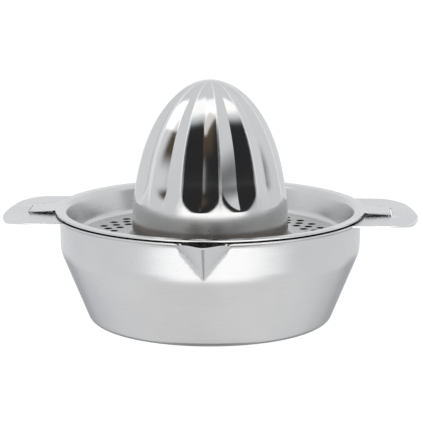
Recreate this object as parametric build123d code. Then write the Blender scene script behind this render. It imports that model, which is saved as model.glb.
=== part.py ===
from build123d import *
import math
import os

# Two-piece hand citrus juicer, pressed from stainless sheet, in millimetres.
# The origin is the centre of the bowl's flat underside, +Z is up, the pouring lip points to -Y
# and the two ears lie along X.

# Driving dimensions
sheet = 0.7  # thickness of both pressings

# Juice bowl, measured on its outer side
base_radius = 52.0
base_bend = 3.9
knee_height = 31.1
knee_bend = 13.0
band_radius = 65.0
band_flare = 0.3  # how much wider the band is at the rim than at the knee
rim_width = 2.5  # how far the rim turns out past the band
rim_height = 47.3
rim_bend = 2.3

# Pouring lip
lip_reach = 8.0  # how far it stands out past the rim
lip_half_width = 11.2
lip_nose_radius = 3.0

# Ears
ear_margin = 11.7  # outer face of the wing's hook to the tip of the ear
ear_root_half_width = 32.0
ear_end_half_width = 29.0
ear_corner_radius = 8.0
ear_end_bulge = 7.0  # how far the middle of the end stands out past its corners
ear_curl_margin = 4.0  # start of the curl to the outer face of the wing's hook
ear_curl_radius = 60.0

# Reamer dome
reamer_radius = 33.8
reamer_height = 68.1  # above the strainer's floor
shoulder_power = 2.36
nose_power = 1.91
flute_count = 12
flute_turn = -4.9  # direction of the first flute, in degrees from +X
flute_slope = 0.22  # rise of a flute's side over its run
flute_land = 0.006  # share of the dome's radius left uncut along each ridge
flute_foot = 16.9  # height of the flutes' lower ends above the floor
flute_run_out = 11.0  # length over which a flute reaches its full depth
flute_tip_gap = 1.5  # the flutes stop this far below the top of the dome
reamer_foot_bend = 2.2

# Strainer dish
rim_gap = 0.65  # height of the flange above the bowl's rim
flange_inset = 0.55  # flange edge to the bowl's rim, seen from above
side_gap = 1.5  # dish wall to bowl wall, where the wall meets the flange
flange_bend = 1.5
dish_depth = 12.3  # flange to floor, both measured on the underside
dish_taper = 3.2  # how much the wall narrows down to the floor
floor_bend = 3.0

# Juice holes
hole_diameter = 3.2
hole_rows = 3
row_pitch = 3.9
holes_per_row = 36
hole_edge_room = 3.0  # least metal between a hole and the bends on each side of the floor

# Wings of the strainer, and the slots in the ears that their hooks drop into
wing_length = 11.05  # flange edge to the outer face of the hook
wing_root_half_width = 10.0
wing_end_half_width = 8.0
wing_bend = 0.6
hook_depth = 1.5  # how far a hook shows below the ear
seat_gap = 0.1  # wing to ear, where the wing rests
slot_gap = 0.5  # clearance outside and at both ends of a hook

# Worked out from the above
rim_radius = band_radius + rim_width
knee_radius = band_radius - band_flare
flange_height = rim_height + rim_gap
flange_radius = rim_radius - flange_inset
wing_reach = flange_radius + wing_length
ear_tip = wing_reach + ear_margin
ear_curl_start = wing_reach - ear_curl_margin
dish_wall_radius = band_radius - sheet - side_gap
dish_floor_radius = dish_wall_radius - dish_taper
floor_underside = flange_height - dish_depth
floor_height = floor_underside + sheet
apex_height = floor_height + reamer_height
foot_height = flute_foot / 2  # the dish's sheet turns up this far above the floor, to meet the dome
flute_angle = 360 / flute_count
far = 4 * ear_tip  # longer than anything in the juicer


def parallel(points, bends, distance):
    """The corners and bend radii of the line that runs at a distance to the left of this one."""
    directions = [(b - a).normalized() for a, b in zip(points, points[1:])]
    lefts = [Vector(-d.Y, d.X) for d in directions]
    corners = [points[0] + lefts[0] * distance]
    radii = []
    for i, bend in enumerate(bends):
        before, after = lefts[i], lefts[i + 1]
        corners.append(points[i + 1] + (before + after) * (distance / (1 + before.dot(after))))
        turn = math.copysign(1, before.cross(after).Z)
        radii.append(bend - turn * distance)
    corners.append(points[-1] + lefts[-1] * distance)
    return corners, radii


def sheet_line(points, bends):
    """A line with rounded corners: one side of a pressed sheet, seen in section."""
    return FilletPolyline(*points, radius=bends)


def sheet_section(points, bends):
    """The section of a sheet whose outer side follows the points."""
    outer = sheet_line(points, bends)
    inner = sheet_line(*parallel(points, bends, sheet))
    ends = [Line(outer @ 0, inner @ 0), Line(outer @ 1, inner @ 1)]
    return make_face(outer.edges() + inner.edges() + ends)


def turned(section):
    """A section drawn with X as the radius and Y as the height, turned about the Z axis."""
    return revolve(Plane.XZ * section, Axis.Z)


def filled_turning(points, bends, top):
    """Everything between a turned line and the axis, up to the height called top."""
    line = sheet_line(points, bends)
    start, end = line @ 0, line @ 1
    corners = [end, Vector(end.X, top), Vector(0, top), start]
    return turned(make_face(line.edges() + Polyline(*corners).edges()))


# ---- juice bowl ----


def bowl_line():
    """Underside and outer side of the bowl, from the axis to the edge of the rim."""
    band_lean = (band_radius - knee_radius) / (rim_height - knee_height)
    points = [
        Vector(0, 0),
        Vector(base_radius, 0),
        Vector(knee_radius, knee_height),
        Vector(band_radius - band_lean * sheet, rim_height - sheet),
        Vector(rim_radius, rim_height - sheet),
    ]
    return points, [base_bend, knee_bend, rim_bend]


def lip_wedge(setback):
    """The three-cornered beak of the pouring lip, moved in towards the axis by the setback."""
    root = Vector(0, -knee_radius + setback, knee_height)
    shoulder_y = -math.sqrt(rim_radius**2 - lip_half_width**2) + rim_bend / 2 + setback
    tip = Vector(0, -rim_radius - lip_reach + setback)
    back = shoulder_y + 2 * rim_bend
    corners = [
        (-lip_half_width, back),
        (-lip_half_width, shoulder_y),
        tip,
        (lip_half_width, shoulder_y),
        (lip_half_width, back),
    ]
    outline = FilletPolyline(*corners, radius=[0, lip_nose_radius, 0], close=False)
    top = make_face(outline.edges() + [Line(outline @ 1, outline @ 0)])
    foot = Vertex(root.X, root.Y, root.Z)
    return loft([foot, Pos(0, 0, rim_height) * top])


def ear_blank():
    """Plan outline of one ear on the +X side, as a tall prism."""
    corner_x = ear_tip - ear_end_bulge
    root = (0, -ear_root_half_width)
    low = (corner_x, -ear_end_half_width)
    sides = Polyline(low, root, (0, ear_root_half_width), (corner_x, ear_end_half_width))
    end = ThreePointArc(low, (ear_tip, 0), (corner_x, ear_end_half_width))
    outline = make_face(sides.edges() + [end])
    rounded = fillet(outline.vertices().group_by(Axis.X)[-1], ear_corner_radius)
    return extrude(rounded, rim_height + sheet)


def ear_sheet():
    """The bent strip that an ear is cut from: flat at the rim, curling down at its end."""
    start = (rim_radius - 2 * rim_bend - sheet, rim_height - sheet)
    bend = (ear_curl_start, rim_height - sheet)
    flat = Line(start, bend)
    sweep_angle = math.degrees(math.asin((ear_tip - ear_curl_start + 1) / ear_curl_radius))
    curl = CenterArc((bend[0], bend[1] - ear_curl_radius), ear_curl_radius, 90, -sweep_angle)
    upper_curl = CenterArc(
        (bend[0], bend[1] - ear_curl_radius), ear_curl_radius + sheet, 90, -sweep_angle
    )
    upper_flat = Line((start[0], rim_height), (bend[0], rim_height))
    ends = [Line(start, (start[0], rim_height)), Line(curl @ 1, upper_curl @ 1)]
    section = make_face([flat, curl, upper_curl, upper_flat] + ends)
    return extrude(Plane.XZ * section, ear_root_half_width + 1, both=True)


def hook_slot():
    """The slot in the +X ear that the wing's hook drops into."""
    inner_x = wing_reach - sheet - wing_bend - seat_gap
    outer_x = wing_reach + slot_gap
    width = 2 * (wing_end_half_width + slot_gap)
    return Pos((inner_x + outer_x) / 2, 0, rim_height) * Box(outer_x - inner_x, width, 8 * sheet)


def juice_bowl():
    points, bends = bowl_line()
    inner_points, inner_bends = parallel(points, bends, sheet)
    body = filled_turning(points, bends, rim_height)
    hollow = filled_turning(inner_points, inner_bends, rim_height + sheet)
    one_ear = (ear_sheet() & ear_blank()) - hook_slot()
    body += lip_wedge(0)
    body += one_ear
    body += one_ear.rotate(Axis.Z, 180)
    return body - hollow - lip_wedge(1.4 * sheet)


# ---- strainer with its reamer ----


def dome_radius(height):
    """Radius of the plain dome at a height above the floor."""
    share = min(max(height / reamer_height, 0), 1)
    return reamer_radius * (1 - share**shoulder_power) ** (1 / nose_power)


def valley_radius(height):
    """Distance from the axis to the bottom of a flute at a height above the floor."""
    half = math.radians(flute_angle / 2)
    full_depth = 1 - (math.cos(half) - math.sin(half) * flute_slope) - flute_land
    run_out = min(max((height - flute_foot) / flute_run_out, 0), 1)
    tip_room = reamer_height - flute_tip_gap - height
    nose = min(max(tip_room / flute_run_out, 0), 1)
    share = (1 - (1 - run_out) ** 2) * (1 - (1 - nose) ** 2)
    return dome_radius(height) * (1 - full_depth * share)


def dome_curve():
    """Side of the plain dome, from the floor to the top."""
    heights = [reamer_height * math.sin(math.radians(a)) for a in range(0, 90, 10)]
    points = [Vector(dome_radius(h), floor_height + h) for h in heights]
    top = Vector(0, apex_height)
    return Spline(*points, top, tangents=[(0, 1), (-1, 0.3)])


def flute_cutter():
    """The V-shaped cutter for one flute, on the +X side."""
    lowest = flute_foot
    highest = reamer_height - flute_tip_gap
    steps = 16
    heights = [
        lowest + (highest - lowest) * (1 - math.cos(math.pi * i / steps)) / 2 for i in range(steps + 1)
    ]
    points = [Vector(valley_radius(h), floor_height + h) for h in heights]
    clear_x = reamer_radius + 3
    foot = Vector(clear_x, points[0].Y)
    head = Vector(clear_x, points[-1].Y)
    valley = Spline(*points)
    sides = Polyline(points[-1], head, foot, points[0])
    region = Plane.XZ * make_face([valley] + sides.edges())
    reach = reamer_radius * math.sin(math.radians(flute_angle / 2)) + 1
    halves = []
    for side in (-1, 1):
        along = Vector(flute_slope * reach, side * reach, 0)
        halves.append(extrude(region, amount=along.length, dir=along))
    return halves[0] + halves[1]


def fluted_dome():
    side = dome_curve()
    top, foot = side @ 1, side @ 0
    closing = Polyline(top, (0, foot.Y), foot)
    dome = turned(make_face([side] + closing.edges()))
    cutter = flute_cutter()
    flutes = [cutter.rotate(Axis.Z, flute_turn + flute_angle * i) for i in range(flute_count)]
    return dome - flutes


def dish_line():
    """Underside of the dish, from inside the reamer's foot to the edge of the flange."""
    points = [
        Vector(reamer_radius - sheet, floor_height + foot_height),
        Vector(reamer_radius - sheet, floor_underside),
        Vector(dish_floor_radius, floor_underside),
        Vector(dish_wall_radius, flange_height),
        Vector(flange_radius, flange_height),
    ]
    return points, [reamer_foot_bend, floor_bend, flange_bend]


def juice_holes():
    """Rows of holes round the floor, every other row turned by half a step."""
    inner = reamer_radius + reamer_foot_bend + hole_edge_room
    outer = dish_floor_radius - floor_bend / 2 - hole_edge_room
    room = outer - inner - hole_diameter
    rows = max(min(hole_rows, int(room / row_pitch) + 1), 1)
    middle = (inner + outer) / 2
    drill = Pos(0, 0, floor_height) * Cylinder(hole_diameter / 2, 8 * sheet)
    step = 360 / holes_per_row
    holes = []
    for row in range(rows):
        radius = middle + (row - (rows - 1) / 2) * row_pitch
        turn = step / 2 if row % 2 == 0 else 0
        for i in range(holes_per_row):
            holes.append((Pos(radius, 0, 0) * drill).rotate(Axis.Z, turn + i * step))
    return holes


def wing():
    """One wing on the +X side: it leaves the flange, dips to rest on the ear and hooks into it."""
    root_x = flange_radius - flange_bend
    hook_x = wing_reach - sheet
    rest_z = rim_height + seat_gap
    points = [
        Vector(root_x, flange_height),
        Vector(flange_radius + sheet, flange_height),
        Vector(hook_x - 2 * wing_bend - sheet, rest_z),
        Vector(hook_x, rest_z),
        Vector(hook_x, rim_height - sheet - hook_depth),
    ]
    section = sheet_section(points, [4 * wing_bend, 4 * wing_bend, wing_bend])
    strip = extrude(Plane.XZ * section, wing_root_half_width + 1, both=True)
    plan = Polyline(
        (root_x - 1, -wing_root_half_width),
        (wing_reach, -wing_end_half_width),
        (wing_reach, wing_end_half_width),
        (root_x - 1, wing_root_half_width),
        close=True,
    )
    return strip & extrude(make_face(plan), far)


def strainer_reamer():
    dish = turned(sheet_section(*dish_line()))
    dish -= juice_holes()
    outside = fluted_dome()
    hollow_size = 1 - sheet / reamer_radius
    centre = Vector(0, 0, apex_height - reamer_radius)
    inside = scale(outside, hollow_size, about=centre)
    foot_trim = Pos(0, 0, floor_underside) * Cylinder(
        reamer_radius + 1, sheet + foot_height, align=(Align.CENTER, Align.CENTER, Align.MIN)
    )
    dome = outside - inside - foot_trim
    body = dish + dome
    one_wing = wing()
    body += one_wing
    body += one_wing.rotate(Axis.Z, 180)
    return body


os.makedirs("parts", exist_ok=True)
export_step(juice_bowl(), "parts/juice_bowl.step")
export_step(strainer_reamer(), "parts/strainer_reamer.step")
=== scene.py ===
import math

import bpy
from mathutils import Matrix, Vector


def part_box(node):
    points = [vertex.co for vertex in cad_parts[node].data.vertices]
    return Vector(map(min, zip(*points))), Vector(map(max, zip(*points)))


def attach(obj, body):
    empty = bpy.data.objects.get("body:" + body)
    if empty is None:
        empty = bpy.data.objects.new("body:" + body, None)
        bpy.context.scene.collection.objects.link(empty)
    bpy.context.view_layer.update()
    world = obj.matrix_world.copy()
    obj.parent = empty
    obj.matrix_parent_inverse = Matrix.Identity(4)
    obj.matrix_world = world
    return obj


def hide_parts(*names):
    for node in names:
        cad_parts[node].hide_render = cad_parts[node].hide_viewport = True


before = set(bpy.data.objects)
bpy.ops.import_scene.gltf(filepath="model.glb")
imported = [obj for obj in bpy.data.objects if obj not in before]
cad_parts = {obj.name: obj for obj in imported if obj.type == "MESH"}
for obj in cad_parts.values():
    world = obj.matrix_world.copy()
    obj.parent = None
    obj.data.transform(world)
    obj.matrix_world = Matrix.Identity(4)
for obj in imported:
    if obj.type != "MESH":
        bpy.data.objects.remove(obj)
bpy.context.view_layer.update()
MM = 0.001

# ---- sizes, in millimetres; the outer ones come from the frame ----

bowl_low, bowl_high = [[v / MM for v in corner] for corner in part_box("juice_bowl")]
strainer_low, strainer_high = [[v / MM for v in corner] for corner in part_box("strainer_reamer")]

SHEET = 0.7
RIM_HEIGHT = bowl_high[2]
RIM_RADIUS = bowl_high[1]
EAR_TIP = bowl_high[0] - 0.19  # the curled sheet's upper edge leans out by the rest
APEX_HEIGHT = strainer_high[2]
FLANGE_RADIUS = strainer_high[1]
WING_TIP = strainer_high[0]
FLOOR_HEIGHT = strainer_low[2] + SHEET

BASE_RADIUS, BASE_BEND = 52.0, 3.9
KNEE_RADIUS, KNEE_HEIGHT, KNEE_BEND = 64.7, 31.1, 13.0
BAND_RADIUS, RIM_BEND = 65.0, 2.3
LIP_HALF_WIDTH, LIP_TIP = 11.2, RIM_RADIUS + 8.0
LIP_SHOULDER = math.sqrt(RIM_RADIUS**2 - LIP_HALF_WIDTH**2) - RIM_BEND / 2
EAR_ROOT_HALF, EAR_END_HALF, EAR_CORNER, EAR_BULGE = 32.0, 29.0, 8.0, 7.0
EAR_CURL_START, EAR_CURL_RADIUS = 74.0, 60.0
SLOT_INNER, SLOT_OUTER, SLOT_HALF = WING_TIP - 1.4, WING_TIP + 0.5, 8.5

REAMER_RADIUS, REAMER_HEIGHT = 33.8, APEX_HEIGHT - FLOOR_HEIGHT
SHOULDER_POWER, NOSE_POWER = 2.36, 1.91
FLUTES, FLUTE_TURN, FLUTE_SLOPE, FLUTE_LAND = 12, -4.9, 0.22, 0.006
RIDGE_TURN = math.radians(FLUTE_TURN + 180 / FLUTES)
VALLEY_ROUNDING, SIDE_CROWN = 0.012, 0.20
FLUTE_FOOT, FLUTE_RUN_OUT, FLUTE_TIP_GAP, FLUTE_TIP_RUN = 16.9, 11.0, 0.9, 4.5

FLANGE_HEIGHT = RIM_HEIGHT + 0.65
WALL_RADIUS = BAND_RADIUS - SHEET - 1.5
FLOOR_RADIUS = WALL_RADIUS - 3.2
FOOT_BEND, FLOOR_BEND, FLANGE_BEND = 2.2, 3.0, 1.5
HOLE_RADIUS, HOLE_RINGS, HOLE_PITCH, HOLES_PER_RING = 1.6, 3, 3.9, 36
HOLE_SHADE_RING = 0.30  # width of the dark ring painted round each punched hole as shade
WING_ROOT_HALF, WING_END_HALF, WING_BEND, HOOK_DEPTH = 10.0, 8.0, 0.6, 1.5
SEAT_GAP = 0.1

# spacing of the columns of faces, in degrees round the axis
COLUMN_STEP, LIP_STEP, EAR_STEP = 1.25, 0.5, 0.7
COLUMNS_PER_FLUTE = 24
DISH_TURN = 10.0  # direction of the dish's first column
FLUTE_PITCH = 360.0 / FLUTES
DOME_ROWS = 92


# ---- small helpers ----


def mix(a, b, share):
    return a + (b - a) * share


def ease(low, high, value):
    share = min(max((value - low) / (high - low), 0.0), 1.0)
    return share * share * (3 - 2 * share)


def soft_least(a, b, room):
    """The smaller of two numbers, rounded off where they are nearly equal."""
    h = max(room - abs(a - b), 0.0) / room if room > 0 else 0.0
    return min(a, b) - h * h * room / 4


def soft_most(a, b, room):
    return -soft_least(-a, -b, room)


def rounded_line(corners, bends, per_bend):
    """Points along a line of straight runs whose inner corners are rounded to the given radii."""
    points = [corners[0]]
    for i, bend in enumerate(bends):
        before, corner, after = (Vector(corners[i + k]) for k in range(3))
        back, ahead = (before - corner).normalized(), (after - corner).normalized()
        half = back.angle(ahead) / 2
        setback = bend / math.tan(half)
        centre = corner + (back + ahead).normalized() * (bend / math.sin(half))
        start, stop = corner + back * setback - centre, corner + ahead * setback - centre
        turn = math.atan2(start.x * stop.y - start.y * stop.x, start.dot(stop))
        for k in range(per_bend + 1):
            angle = turn * k / per_bend
            c, s = math.cos(angle), math.sin(angle)
            points.append((centre.x + start.x * c - start.y * s, centre.y + start.x * s + start.y * c))
    points.append(corners[-1])
    return [tuple(p) for p in points]


def shifted(corners, bends, distance):
    """The same line moved to its left by the distance, with the bend radii that go with it."""
    ways = [(Vector(b) - Vector(a)).normalized() for a, b in zip(corners, corners[1:])]
    lefts = [Vector((-w.y, w.x)) for w in ways]
    moved = [Vector(corners[0]) + lefts[0] * distance]
    radii = []
    for i, bend in enumerate(bends):
        a, b = lefts[i], lefts[i + 1]
        moved.append(Vector(corners[i + 1]) + (a + b) * (distance / (1 + a.dot(b))))
        radii.append(bend - math.copysign(distance, a.x * b.y - a.y * b.x))
    moved.append(Vector(corners[-1]) + lefts[-1] * distance)
    return [tuple(p) for p in moved], radii


def filled_in(points, longest):
    """The same points with more between any two that are further apart than longest."""
    out = [points[0]]
    for a, b in zip(points, points[1:]):
        steps = max(int(math.ceil(math.dist(a, b) / longest)), 1)
        out += [tuple(mix(u, v, k / steps) for u, v in zip(a, b)) for k in range(1, steps + 1)]
    return out


class Skin:
    """Vertices and faces of one sheet-metal surface, gathered in millimetres."""

    def __init__(self):
        self.points, self.faces, self.shade_ring = [], [], set()

    def point(self, x, y, z):
        self.points.append((x * MM, y * MM, z * MM))
        return len(self.points) - 1

    def band(self, lower, upper, closed=True, skip=(), shade_ring=False):
        """Faces between two rows of vertices; skip lists the columns left open."""
        count = len(lower) if closed else len(lower) - 1
        for i in range(count):
            if i in skip:
                continue
            j = (i + 1) % len(lower)
            self.faces.append((lower[i], lower[j], upper[j], upper[i]))
            if shade_ring:
                self.shade_ring.add(len(self.faces) - 1)

    def fan(self, centre, ring, turned_over=False):
        for i in range(len(ring)):
            j = (i + 1) % len(ring)
            face = (centre, ring[i], ring[j])
            self.faces.append(face[::-1] if turned_over else face)

    def build(self, name, materials, body, node):
        """The finished piece: the surface thickened to the sheet, with its cut edges rounded."""
        mesh = bpy.data.meshes.new(name)
        mesh.from_pydata(self.points, [], self.faces)
        piece = bpy.data.objects.new(name, mesh)
        bpy.context.scene.collection.objects.link(piece)
        for material in materials:
            mesh.materials.append(material)
        mesh.polygons.foreach_set("use_smooth", [True] * len(mesh.polygons))
        # faces of the painted shade round the holes take the second, dark material
        slots = [int(i in self.shade_ring) for i in range(len(mesh.polygons))]
        mesh.polygons.foreach_set("material_index", slots)
        solid = piece.modifiers.new("sheet", "SOLIDIFY")
        solid.thickness = SHEET * MM
        solid.offset = -1.0
        solid.use_even_offset = True
        rounding = piece.modifiers.new("cut_edges", "BEVEL")
        rounding.width = 0.14 * MM
        rounding.segments = 2
        rounding.limit_method = "ANGLE"
        rounding.angle_limit = math.radians(50)
        rounding.harden_normals = False
        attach(piece, body)
        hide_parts(node)
        return piece


# ---- juice bowl ----


def bowl_outline():
    """Outer side of the plain bowl, as radius and height, from the axis to the edge of the rim."""
    lean = (BAND_RADIUS - KNEE_RADIUS) / (RIM_HEIGHT - KNEE_HEIGHT)
    corners = [
        (0.0, 0.0),
        (BASE_RADIUS, 0.0),
        (KNEE_RADIUS, KNEE_HEIGHT),
        (BAND_RADIUS - lean * SHEET, RIM_HEIGHT - SHEET),
        (RIM_RADIUS, RIM_HEIGHT - SHEET),
    ]
    return rounded_line(corners, [BASE_BEND, KNEE_BEND, RIM_BEND], 10)


def bowl_radius_at(outline, height):
    """Outer radius of the plain bowl at a height above the knee."""
    for (r0, z0), (r1, z1) in zip(outline, outline[1:]):
        if z0 <= height <= z1 and z1 > z0:
            return mix(r0, r1, (height - z0) / (z1 - z0))
    return outline[-1][0]


def lip_radius(off_axis, height):
    """How far out the pouring lip's two flat sides stand, at an angle from -Y and a height."""
    share = (height - KNEE_HEIGHT) / (RIM_HEIGHT - KNEE_HEIGHT)
    if share <= 0:
        return 0.0
    tip = mix(KNEE_RADIUS, LIP_TIP, share)
    corner_y = mix(KNEE_RADIUS, LIP_SHOULDER, share)
    side = math.sqrt(off_axis**2 + (0.012 + 0.012 * share) ** 2) - 0.3 * (0.012 + 0.012 * share)
    fall = (tip - corner_y) / (LIP_HALF_WIDTH * share)
    return tip / (math.cos(side) + fall * math.sin(side))


def ear_reach(angle):
    """Distance from the axis to the edge of an ear, along a direction measured from its middle."""
    low, high = 0.0, EAR_TIP + 1
    c, s = math.cos(angle), abs(math.sin(angle))
    bulge_radius = (EAR_END_HALF**2 + EAR_BULGE**2) / (2 * EAR_BULGE)
    centre_x = EAR_TIP - bulge_radius

    def inside(reach):
        x, y = reach * c, reach * s
        side = mix(EAR_ROOT_HALF, EAR_END_HALF, x / (EAR_TIP - EAR_BULGE)) - y
        end = bulge_radius - math.hypot(x - centre_x, y)
        if side < EAR_CORNER and end < EAR_CORNER:
            return EAR_CORNER - math.hypot(EAR_CORNER - side, EAR_CORNER - end)
        return min(side, end)

    for _ in range(40):
        middle = (low + high) / 2
        if inside(middle) > 0:
            low = middle
        else:
            high = middle
    return low


def ear_drop(x):
    """How far the curl has taken an ear down at a distance from the middle."""
    run = max(abs(x) - EAR_CURL_START, 0.0)
    return EAR_CURL_RADIUS - math.sqrt(EAR_CURL_RADIUS**2 - run**2)


def bowl_columns():
    """Directions of the columns round the bowl, closer together at the lip and the ears' corners."""
    angles = []
    angle = -90.0
    slot_edge = math.degrees(math.atan(SLOT_HALF / (SLOT_INNER + 1)))
    while angle < 270.0 - 1e-6:
        angles.append(angle)
        from_lip = min(abs(angle + 90.0), abs(angle - 270.0))
        from_ear = min(abs(angle), abs(angle - 180.0))
        if from_lip < 12.5:
            angle += LIP_STEP
        elif 14 < from_ear < 28:
            angle += EAR_STEP
        else:
            angle += COLUMN_STEP
    marks = [side * slot_edge + centre for centre in (0.0, 180.0) for side in (-1, 1)]
    marks += [0.0, 180.0]
    for mark in marks:
        nearest = min(range(len(angles)), key=lambda i: abs(angles[i] - mark))
        angles[nearest] = mark
    return angles, slot_edge


def juice_bowl(materials):
    """The bowl with its pouring lip, and the two slotted ears that go on from its rim."""
    outline = bowl_outline()
    steps = filled_in([p for p in outline if p[0] > 8], 2.2)
    steps = [(8.0, 0.0)] + [p for p in steps if p[0] > 8.01]
    top = steps[-1]
    knee_line = [p for p in outline if p[1] >= KNEE_HEIGHT - 1]
    lengths = [0.0]
    for a, b in zip(steps, steps[1:]):
        lengths.append(lengths[-1] + math.dist(a, b))
    start = next(length for length, p in zip(lengths, steps) if p[1] >= KNEE_HEIGHT)
    angles, slot_edge = bowl_columns()
    skin = Skin()
    rows = []
    for (radius, height), length in zip(steps, lengths):
        share = max(length - start, 0.0) / (lengths[-1] - start)
        lip_height = mix(KNEE_HEIGHT, top[1], share)
        row = []
        for angle in angles:
            a = math.radians(angle)
            off_lip = abs((angle + 270.0) % 360.0 - 180.0)
            r, z = radius, height
            if share > 0 and off_lip < 16:
                flat = lip_radius(math.radians(off_lip), lip_height)
                round_ = bowl_radius_at(knee_line, lip_height)
                weight = ease(-0.28, 0.28, flat - round_)
                out = soft_most(flat, round_, 0.5)
                r, z = mix(radius, out, weight), mix(height, lip_height, weight)
            row.append(skin.point(r * math.cos(a), r * math.sin(a), z))
        rows.append(row)
    centre = skin.point(0, 0, 0)
    skin.fan(centre, rows[0], turned_over=True)
    for lower, upper in zip(rows, rows[1:]):
        skin.band(lower, upper)
    # the two ears go on outwards from the rim
    for centre_angle in (0.0, 180.0):
        picked = []
        for i, angle in enumerate(angles):
            off = (angle - centre_angle + 180.0) % 360.0 - 180.0
            if abs(off) < 30 and ear_reach(math.radians(off)) > RIM_RADIUS + 0.12:
                picked.append((off, i))
        picked.sort()
        flip = 1 if centre_angle == 0 else -1
        shares = [0.13, 0.27, None, None, 0.62, 0.74, 0.85, 0.93, 0.975, 1.0]
        previous = [rows[-1][i] for _, i in picked]
        for k, share in enumerate(shares):
            row = []
            for off, i in picked:
                a = math.radians(off)
                reach = ear_reach(a)
                room = reach - RIM_RADIUS
                if share is None:
                    straight = SLOT_INNER if k == 2 else SLOT_OUTER
                    fallback = RIM_RADIUS + room * (0.42 if k == 2 else 0.50)
                    blend = ease(12.0, 20.0, abs(off))
                    r = mix(straight / math.cos(a), fallback, blend)
                else:
                    r = RIM_RADIUS + room * share
                x, y = r * math.cos(a) * flip, r * math.sin(a) * flip
                row.append(skin.point(x, y, top[1] - ear_drop(x)))
            open_cells = ()
            if k == 3:
                in_slot = [abs(off) <= slot_edge + 1e-6 for off, _ in picked]
                open_cells = [n for n in range(len(picked) - 1) if in_slot[n] and in_slot[n + 1]]
            skin.band(previous, row, closed=False, skip=open_cells)
            previous = row
    return skin.build("juice_bowl_steel", materials, "bowl", "juice_bowl")


# ---- strainer with its reamer ----


def dome_radius(height):
    """Radius of the dome without its flutes at a height above the floor."""
    share = min(max(height / REAMER_HEIGHT, 0.0), 1.0)
    return REAMER_RADIUS * (1 - share**SHOULDER_POWER) ** (1 / NOSE_POWER)


def flute_shares(height):
    """How much of its full depth and of its full width a flute has at a height above the floor."""
    run_out = min(max((height - FLUTE_FOOT) / FLUTE_RUN_OUT, 0.0), 1.0)
    nose = min(max((REAMER_HEIGHT - FLUTE_TIP_GAP - height) / FLUTE_TIP_RUN, 0.0), 1.0)
    deep = (1 - (1 - run_out) ** 2.2) * (1 - (1 - nose) ** 2)
    wide = math.sqrt(1 - (1 - run_out) ** 2)
    return deep, wide


def fluted_radius(height, off_valley):
    """Radius of the dome at a height, at an angle in radians from the nearest flute's valley."""
    plain = dome_radius(height)
    half = math.pi / FLUTES
    full_depth = 1 - (math.cos(half) - math.sin(half) * FLUTE_SLOPE) - FLUTE_LAND
    deep, wide = flute_shares(height)
    if deep <= 0:
        return plain
    edge = half * 0.975 * wide
    valley = plain * (1 - full_depth * deep)
    slope = (math.cos(edge) - 1 + full_depth * deep) / math.sin(edge)
    off = math.sqrt(off_valley**2 + VALLEY_ROUNDING**2) - 0.35 * VALLEY_ROUNDING
    side = valley / (math.cos(off) - slope * math.sin(off))
    across = min(off_valley / edge, 1.0)
    side += SIDE_CROWN * deep * 4 * across * (1 - across) * plain / REAMER_RADIUS
    room = mix(0.5, 0.22, wide) * min(plain / REAMER_RADIUS, 1.0)
    return soft_least(plain, side, room)


def reamer_direction(column, spread):
    """Direction of a column in degrees: even round the dish, gathered at the edges on the dome."""
    flute, i = divmod(column, COLUMNS_PER_FLUTE)
    even = DISH_TURN + COLUMN_STEP * column
    s = (i - COLUMNS_PER_FLUTE / 2) / (COLUMNS_PER_FLUTE / 2)
    bent = s - 0.62 * math.sin(2 * math.pi * s) / (2 * math.pi)
    gathered = FLUTE_TURN + FLUTE_PITCH * (flute + 1) + FLUTE_PITCH / 2 * bent
    return mix(even, gathered, spread)


def off_valley_angle(direction):
    """Angle in radians between a direction and the nearest flute's valley."""
    off = (direction - FLUTE_TURN + FLUTE_PITCH / 2) % FLUTE_PITCH - FLUTE_PITCH / 2
    return math.radians(abs(off))


def wing_line():
    """Upper side of a wing, from the flange to the tip of its hook."""
    rest = RIM_HEIGHT + SEAT_GAP
    hook = WING_TIP - SHEET
    corners = [
        (FLANGE_RADIUS - FLANGE_BEND, FLANGE_HEIGHT),
        (FLANGE_RADIUS + SHEET, FLANGE_HEIGHT),
        (hook - 2 * WING_BEND - SHEET, rest),
        (hook, rest),
        (hook, RIM_HEIGHT - SHEET - HOOK_DEPTH),
    ]
    upper, radii = shifted(corners, [4 * WING_BEND, 4 * WING_BEND, WING_BEND], SHEET)
    return rounded_line(upper, radii, 6)


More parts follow.
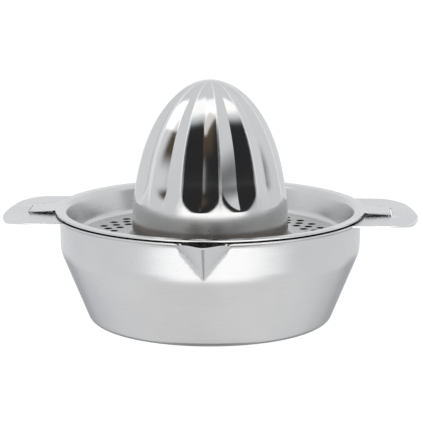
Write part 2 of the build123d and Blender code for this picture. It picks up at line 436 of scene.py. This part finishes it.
def strainer_reamer(materials):
    """The fluted dome, the dish with its juice holes, and the two hooked wings."""
    skin = Skin()
    columns = COLUMNS_PER_FLUTE * FLUTES
    rows = []
    # dome, from its top down
    heights = []
    for k in range(1, DOME_ROWS + 1):
        heights.append(REAMER_HEIGHT * math.cos(math.radians(90.0 * (k / DOME_ROWS) ** 0.93)))
    heights = [h for h in heights if h > FLUTE_FOOT + FLUTE_RUN_OUT + 1]
    low = FLUTE_FOOT + FLUTE_RUN_OUT + 0.5
    while low > FLUTE_FOOT - 1.5:
        heights.append(low)
        low -= 0.55
    heights += [14.4, 13.2, 11.8, 10.2, 8.2, 6.2, 4.4, 2.9]
    apex = skin.point(0, 0, APEX_HEIGHT)
    for height in heights:
        spread = ease(4.0, 14.4, height)
        row = []
        for column in range(columns):
            direction = reamer_direction(column, spread)
            r = fluted_radius(height, off_valley_angle(direction))
            a = math.radians(direction)
            row.append(skin.point(r * math.cos(a), r * math.sin(a), FLOOR_HEIGHT + height))
        rows.append(row)
    skin.fan(apex, rows[0])
    for upper, lower in zip(rows, rows[1:]):
        skin.band(lower, upper)
    # dish: foot bend, floor with its holes, wall and flange
    underside = [
        (REAMER_RADIUS - SHEET, FLOOR_HEIGHT + 2.5),
        (REAMER_RADIUS - SHEET, FLOOR_HEIGHT - SHEET),
        (FLOOR_RADIUS, FLOOR_HEIGHT - SHEET),
        (WALL_RADIUS, FLANGE_HEIGHT),
        (FLANGE_RADIUS, FLANGE_HEIGHT),
    ]
    upper_side, radii = shifted(underside, [FOOT_BEND, FLOOR_BEND, FLANGE_BEND], SHEET)
    line = rounded_line(upper_side, radii, 7)
    foot_part, rest = line[1:9], line[9:]
    hole_middle = (REAMER_RADIUS + FOOT_BEND + FLOOR_RADIUS - FLOOR_BEND / 2) / 2
    rings = [hole_middle + (n - (HOLE_RINGS - 1) / 2) * HOLE_PITCH for n in range(HOLE_RINGS)]
    floor_edges = [rings[0] - HOLE_PITCH / 2] + [r + HOLE_PITCH / 2 for r in rings]

    def plain_row(radius, height):
        row = []
        for column in range(columns):
            a = math.radians(reamer_direction(column, 0.0))
            row.append(skin.point(radius * math.cos(a), radius * math.sin(a), height))
        return row

    previous = rows[-1]
    for radius, height in filled_in(foot_part, 1.2):
        row = plain_row(radius, height)
        skin.band(row, previous)
        previous = row
    row = plain_row(floor_edges[0], FLOOR_HEIGHT)
    skin.band(row, previous)
    previous = row
    cell = columns // HOLES_PER_RING
    for n, ring in enumerate(rings):
        # sides of the cells, part of the way across the ring
        across = [mix(floor_edges[n], floor_edges[n + 1], k / 4) for k in (1, 2, 3)]
        outer = plain_row(floor_edges[n + 1], FLOOR_HEIGHT)
        shift = cell // 2 if n % 2 == 0 else 0
        sides = {}
        for h in range(HOLES_PER_RING):
            column = (h * cell + shift) % columns
            a = math.radians(reamer_direction(column, 0.0))
            sides[column] = [skin.point(r * math.cos(a), r * math.sin(a), FLOOR_HEIGHT) for r in across]
        for h in range(HOLES_PER_RING):
            first = (h * cell + shift) % columns
            last = (first + cell) % columns
            around = [previous[(first + k) % columns] for k in range(cell + 1)]
            around += sides[last]
            around += [outer[(first + cell - k) % columns] for k in range(cell + 1)]
            around += sides[first][::-1]
            middle = math.radians(reamer_direction(first, 0.0) + COLUMN_STEP * cell / 2)
            cx, cy = ring * math.cos(middle), ring * math.sin(middle)
            circles = []
            for size in (HOLE_RADIUS, HOLE_RADIUS + HOLE_SHADE_RING):
                circle = []
                for index in around:
                    px, py = skin.points[index][0] / MM, skin.points[index][1] / MM
                    a = math.atan2(py - cy, px - cx)
                    x, y = cx + size * math.cos(a), cy + size * math.sin(a)
                    circle.append(skin.point(x, y, FLOOR_HEIGHT))
                circles.append(circle)
            skin.band(circles[1], around)
            # the ring round each hole takes the dark second material: painted shade round the hole
            skin.band(circles[0], circles[1], shade_ring=True)
        previous = outer
    for radius, height in filled_in(rest, 1.3):
        if radius <= floor_edges[-1] + 0.05:
            continue
        row = plain_row(radius, height)
        skin.band(row, previous)
        previous = row
    # wings
    edge = previous
    limit = math.degrees(math.asin((WING_ROOT_HALF - 0.25) / FLANGE_RADIUS))
    line = [p for p in filled_in(wing_line(), 1.2) if p[0] > FLANGE_RADIUS + 0.3 or p[1] < RIM_HEIGHT]
    for centre_angle in (0.0, 180.0):
        flip = 1 if centre_angle == 0 else -1
        picked = []
        for column in range(columns):
            direction = reamer_direction(column, 0.0)
            off = (direction - centre_angle + 180.0) % 360.0 - 180.0
            if abs(off) <= limit:
                picked.append((off, column))
        picked.sort()
        widest = max(abs(off) for off, _ in picked)
        before = [edge[column] for _, column in picked]
        for x, z in line:
            along = (min(x, WING_TIP) - FLANGE_RADIUS) / (WING_TIP - FLANGE_RADIUS)
            half = mix(WING_ROOT_HALF - 0.2, WING_END_HALF, along)
            row = [skin.point(x * flip, half * off / widest * flip, z) for off, _ in picked]
            skin.band(row, before, closed=False)
            before = row
    return skin.build(
        "strainer_reamer_steel", materials, "strainer", "strainer_reamer"
    )


# ---- materials ----


class Value:
    """A shader socket that takes part in Python sums."""

    def __init__(self, shader, socket):
        self.shader, self.socket = shader, socket

    def _sum(self, operation, a, b):
        return self.shader.node("ShaderNodeMath", {"operation": operation}, {0: a, 1: b})

    def __add__(self, other):
        return self._sum("ADD", self, other)

    def __radd__(self, other):
        return self._sum("ADD", other, self)

    def __sub__(self, other):
        return self._sum("SUBTRACT", self, other)

    def __rsub__(self, other):
        return self._sum("SUBTRACT", other, self)

    def __mul__(self, other):
        return self._sum("MULTIPLY", self, other)

    def __rmul__(self, other):
        return self._sum("MULTIPLY", other, self)

    def __truediv__(self, other):
        return self._sum("DIVIDE", self, other)

    def __pow__(self, other):
        return self._sum("POWER", self, other)


class Shader:
    """One material and the nodes in it."""

    def __init__(self, name):
        self.material = bpy.data.materials.new(name)
        self.material.use_nodes = True
        self.tree = self.material.node_tree
        self.tree.nodes.clear()

    def node(self, kind, settings=None, sockets=None, output=0):
        made = self.tree.nodes.new(kind)
        for key, value in (settings or {}).items():
            if key == "stops":
                ramp = made.color_ramp
                while len(ramp.elements) < len(value):
                    ramp.elements.new(0.5)
                for element, (place, colour) in zip(ramp.elements, value):
                    element.position = place
                    element.color = (*colour, 1.0)
            else:
                setattr(made, key, value)
        for key, value in (sockets or {}).items():
            socket = made.inputs[key]
            if isinstance(value, Value):
                self.tree.links.new(value.socket, socket)
            else:
                socket.default_value = value
        return Value(self, made.outputs[output])

    def limited(self, value, low, high, to_low=0.0, to_high=1.0):
        """The value carried from one range to another and held inside it."""
        return self.node(
            "ShaderNodeMapRange",
            {"clamp": True, "interpolation_type": "SMOOTHSTEP"},
            {"Value": value, "From Min": low, "From Max": high, "To Min": to_low, "To Max": to_high},
        )

    def noise(self, vector, scale, detail=2.0, roughness=0.5):
        return self.node(
            "ShaderNodeTexNoise",
            {"noise_dimensions": "3D"},
            {"Vector": vector, "Scale": scale, "Detail": detail, "Roughness": roughness},
        )

    def blend(self, share, a, b):
        return self.node("ShaderNodeMix", {"data_type": "RGBA"}, {0: share, 6: a, 7: b}, output=2)

    def finish(self, surface):
        out = self.tree.nodes.new("ShaderNodeOutputMaterial")
        self.tree.links.new(surface.socket, out.inputs["Surface"])
        return self.material


GRAIN_PER_METRE = 2600.0


def steel(name, tint, shade, roughness, grain_depth, polish_from=None, foot_reflection=None, ridge_highlight_from=None):
    """Pressed stainless steel: fine grain round the axis, faint blotches and lighter convex edges.

    polish_from gives two heights and how much smoother the steel is above them, ridge_highlight_from
    the height where the painted highlight on the ridges begins, and foot two heights, a radius and a
    colour for the dark reflection painted round the base of the dome.
    """
    s = Shader(name)
    place = s.node("ShaderNodeTexCoord", output=3)
    split = s.node("ShaderNodeSeparateXYZ", sockets={0: place})
    x, y = split, Value(s, split.socket.node.outputs[1])
    z = Value(s, split.socket.node.outputs[2])
    radius = (x * x + y * y) ** 0.5
    angle = s.node("ShaderNodeMath", {"operation": "ARCTAN2"}, {0: y, 1: x})
    # grain: long round the axis, fine across it
    lengthways = s.node(
        "ShaderNodeCombineXYZ",
        sockets={0: angle * 1.6, 1: radius * GRAIN_PER_METRE, 2: z * GRAIN_PER_METRE},
    )
    grain = s.noise(lengthways, 1.0, 3.0, 0.6)
    broad = s.noise(place, 26.0, 3.0, 0.55)
    cloud = s.noise(place, 9.0, 2.0, 0.5)
    specks = s.limited(s.noise(place, 900.0, 1.0, 0.5), 0.66, 0.74)
    convex_pointiness = s.node("ShaderNodeNewGeometry", output=7)
    edge = s.limited(convex_pointiness, 0.53, 0.62)
    base = s.blend(s.limited(broad, 0.35, 0.65), (*shade, 1.0), (*tint, 1.0))
    # convex edges are blended towards a lighter grey
    base = s.blend(edge * 0.35, base, (0.90, 0.90, 0.90, 1.0))
    # painted reflection: the dome is tinted dark brown-grey below a height and inside a radius,
    # standing in for the dark dish it reflects
    if foot_reflection is not None:
        low, high, reach, colour = foot_reflection
        painted_reflection_share = s.limited(z + (cloud - 0.5) * 0.003, low, high, 1.0, 0.0)
        painted_reflection_share = painted_reflection_share * s.limited(radius, reach, reach + 0.0015, 1.0, 0.0)
        base = s.blend(painted_reflection_share * s.limited(broad, 0.2, 0.8, 0.8, 1.0), base, (*colour, 1.0))
    rough = roughness + (grain - 0.5) * 0.10 + (cloud - 0.5) * 0.10 + specks * 0.05 - edge * 0.05
    if polish_from is not None:
        polished = s.limited(z, polish_from[0], polish_from[1])
        rough = rough * (1.0 - polished * polish_from[2])
        # the ridges between the flutes are made rougher and painted lighter, a painted highlight along
        # each of them
        turns = (angle - RIDGE_TURN) * float(FLUTES)
        ridge_highlight = s.node("ShaderNodeMath", {"operation": "COSINE"}, {0: turns})
        ridge_highlight = s.limited(ridge_highlight + (broad - 0.5) * 0.08, 0.93, 0.99)
        ridge_highlight = ridge_highlight * s.limited(z, ridge_highlight_from, ridge_highlight_from + 0.005)
        rough = rough + ridge_highlight * 0.22
        base = s.blend(ridge_highlight * 0.8, base, (0.84, 0.84, 0.83, 1.0))
        depth = grain_depth * (1.0 - polished * 0.8)
    else:
        depth = grain_depth
    height = grain * depth + (broad - 0.5) * 0.6
    normal = s.node("ShaderNodeBump", sockets={"Strength": 0.22, "Distance": 0.00004, "Height": height})
    surface = s.node(
        "ShaderNodeBsdfPrincipled",
        sockets={"Base Color": base, "Metallic": 1.0, "Roughness": rough, "Normal": normal},
    )
    return s.finish(surface)


# ---- stage: floor, surroundings, lights and camera ----


def glowing_paint(name, colour, strength):
    s = Shader(name)
    paint = s.node("ShaderNodeEmission", sockets={"Color": (*colour, 1.0), "Strength": strength})
    return s.finish(paint)


BASE_LIGHT = (0.90, 0.915, 0.94)
# panels: one side or both, azimuth from -Y towards +X, elevation, softness across and up, colour
PANELS = [
    ("both", 0, 181, -91, -68, 1, 6, (0.30, 0.285, 0.27)),
    ("both", 0, 98, -70, -38, 6, 5, (0.96, 0.96, 0.965)),
    ("both", 128, 181, -66, -34, 14, 8, (0.32, 0.33, 0.35)),
    ("both", 140, 181, -40, -17, 10, 4, (0.46, 0.47, 0.49)),
    ("one", -34, 40, -38, -8, 10, 5, (1.62, 1.62, 1.62)),
    ("one", -44, 56, -17, 3, 10, 2, (1.75, 1.75, 1.75)),
    ("one", -84, 64, 58, 82, 8, 4, (1.55, 1.55, 1.55)),
    ("one", -54, -30, 16, 59, 4, 6, (0.095, 0.072, 0.05)),
    ("one", 56, 82, 2, 17, 5, 8, (0.24, 0.245, 0.255)),
    ("one", -42, 58, 3, 50, 3, 5, (0.032, 0.032, 0.034)),
    ("one", -48, -34, 24, 50, 4, 5, (0.10, 0.076, 0.05)),
]


def surround():
    """A large shell round the studio that shows only in reflections: soft panels by direction."""
    s = Shader("studio_panels")
    place = s.node("ShaderNodeTexCoord", output=3)
    way = s.node("ShaderNodeVectorMath", {"operation": "NORMALIZE"}, {0: place})
    split = s.node("ShaderNodeSeparateXYZ", sockets={0: way})
    x, y = split, Value(s, split.socket.node.outputs[1])
    z = Value(s, split.socket.node.outputs[2])
    degrees = 180 / math.pi
    azimuth = s.node("ShaderNodeMath", {"operation": "ARCTAN2"}, {0: x, 1: 0.0 - y}) * degrees
    side = s.node("ShaderNodeMath", {"operation": "ABSOLUTE"}, {0: azimuth})
    elevation = s.node("ShaderNodeMath", {"operation": "ARCSINE"}, {0: z}) * degrees
    light = (*BASE_LIGHT, 1.0)
    for across, left, right, low, high, soft_across, soft_up, colour in PANELS:
        turn = side if across == "both" else azimuth
        inside = s.limited(turn, left - soft_across, left + soft_across)
        inside = inside * (1.0 - s.limited(turn, right - soft_across, right + soft_across))
        inside = inside * s.limited(elevation, low - soft_up, low + soft_up)
        inside = inside * (1.0 - s.limited(elevation, high - soft_up, high + soft_up))
        light = s.blend(inside, light, (*colour, 1.0))
    glow = s.node("ShaderNodeEmission", sockets={"Color": light, "Strength": 1.0})
    steps, rings, radius = 48, 24, 4.0
    points, faces = [], []
    for i in range(rings + 1):
        e = math.pi * (i / rings - 0.5)
        for j in range(steps):
            a = 2 * math.pi * j / steps
            across = radius * math.cos(e)
            points.append((across * math.cos(a), across * math.sin(a), radius * math.sin(e)))
    for i in range(rings):
        for j in range(steps):
            k = (j + 1) % steps
            below, above = i * steps, (i + 1) * steps
            faces.append((below + j, below + k, above + k, above + j))
    mesh = bpy.data.meshes.new("studio_panels")
    mesh.from_pydata(points, [], faces)
    mesh.materials.append(s.finish(glow))
    shell = bpy.data.objects.new("studio_panels", mesh)
    shell.location = (0.0, 0.0, 0.06)
    shell.visible_camera = False
    shell.visible_shadow = False
    shell.visible_diffuse = False
    bpy.context.scene.collection.objects.link(shell)


def area_light(name, place, aim, size, energy):
    light = bpy.data.lights.new(name, "AREA")
    light.shape = "RECTANGLE"
    light.size, light.size_y = size
    light.energy = energy
    lamp = bpy.data.objects.new(name, light)
    lamp.location = place
    lamp.rotation_mode = "QUATERNION"
    lamp.rotation_quaternion = (Vector(aim) - Vector(place)).to_track_quat("-Z", "Y")
    bpy.context.scene.collection.objects.link(lamp)
    return lamp


def studio():
    scene = bpy.context.scene
    world = bpy.data.worlds.new("studio_air")
    scene.world = world
    world.use_nodes = True
    air = world.node_tree.nodes["Background"]
    air.inputs["Color"].default_value = (1.0, 1.0, 1.0, 1.0)
    air.inputs["Strength"].default_value = 1.0
    scene.view_settings.view_transform = "Standard"
    mesh = bpy.data.meshes.new("studio_floor")
    mesh.from_pydata([(-3, -3, 0), (3, -3, 0), (3, 3, 0), (-3, 3, 0)], [], [(0, 1, 2, 3)])
    floor = bpy.data.objects.new("studio_floor", mesh)
    floor.location = (0, 0, -0.0002)
    mesh.materials.append(glowing_paint("floor_white", (1.0, 1.0, 1.0), 1.03))
    scene.collection.objects.link(floor)
    floor.visible_glossy = False
    surround()
    area_light("key", (-0.7, -0.4, 1.0), (0.0, 0.0, 0.06), (0.6, 0.6), 1.0)


def camera():
    distance = 0.9
    azimuth, elevation = math.radians(2.4), math.radians(11.606)
    back = Vector(
        (
            math.sin(azimuth) * math.cos(elevation),
            -math.cos(azimuth) * math.cos(elevation),
            math.sin(elevation),
        )
    )
    right = Vector((math.cos(azimuth), math.sin(azimuth), 0.0))
    target = Vector((0.0, 0.0, 0.04687)) + right * 0.000553
    lens = bpy.data.cameras.new("camera")
    lens.lens, lens.sensor_width, lens.clip_end = 176.83, 36.0, 50.0
    eye = bpy.data.objects.new("camera", lens)
    eye.location = target + back * distance
    eye.rotation_mode = "QUATERNION"
    eye.rotation_quaternion = (-back).to_track_quat("-Z", "Y")
    bpy.context.scene.collection.objects.link(eye)
    bpy.context.scene.camera = eye


camera()
studio()
bowl_steel = steel("bowl_satin_steel", (0.64, 0.64, 0.635), (0.60, 0.60, 0.605), 0.27, 1.0)
strainer_steel = steel(
    "strainer_bright_steel",
    (0.65, 0.648, 0.64),
    (0.61, 0.61, 0.605),
    0.24,
    0.8,
    polish_from=(FLOOR_HEIGHT * MM + 0.006, FLOOR_HEIGHT * MM + 0.020, 0.55),
    # height where the painted highlight on the ridges begins
    ridge_highlight_from=(FLOOR_HEIGHT + FLUTE_FOOT - 1.0) * MM,
    # painted dark reflection round the base of the dome: two heights, a radius and a colour
    foot_reflection=(
        (FLOOR_HEIGHT + 6.4) * MM,
        (FLOOR_HEIGHT + 8.8) * MM,
        (REAMER_RADIUS + 1.2) * MM,
        (0.20, 0.178, 0.158),
    ),
)
# near-black, rougher steel for the rings and walls of the holes: painted shade
hole_shade_steel = steel(
    "painted_hole_shade_steel", (0.10, 0.095, 0.09), (0.07, 0.068, 0.065), 0.45, 1.0
)
juice_bowl([bowl_steel])
strainer_reamer([strainer_steel, hole_shade_steel])
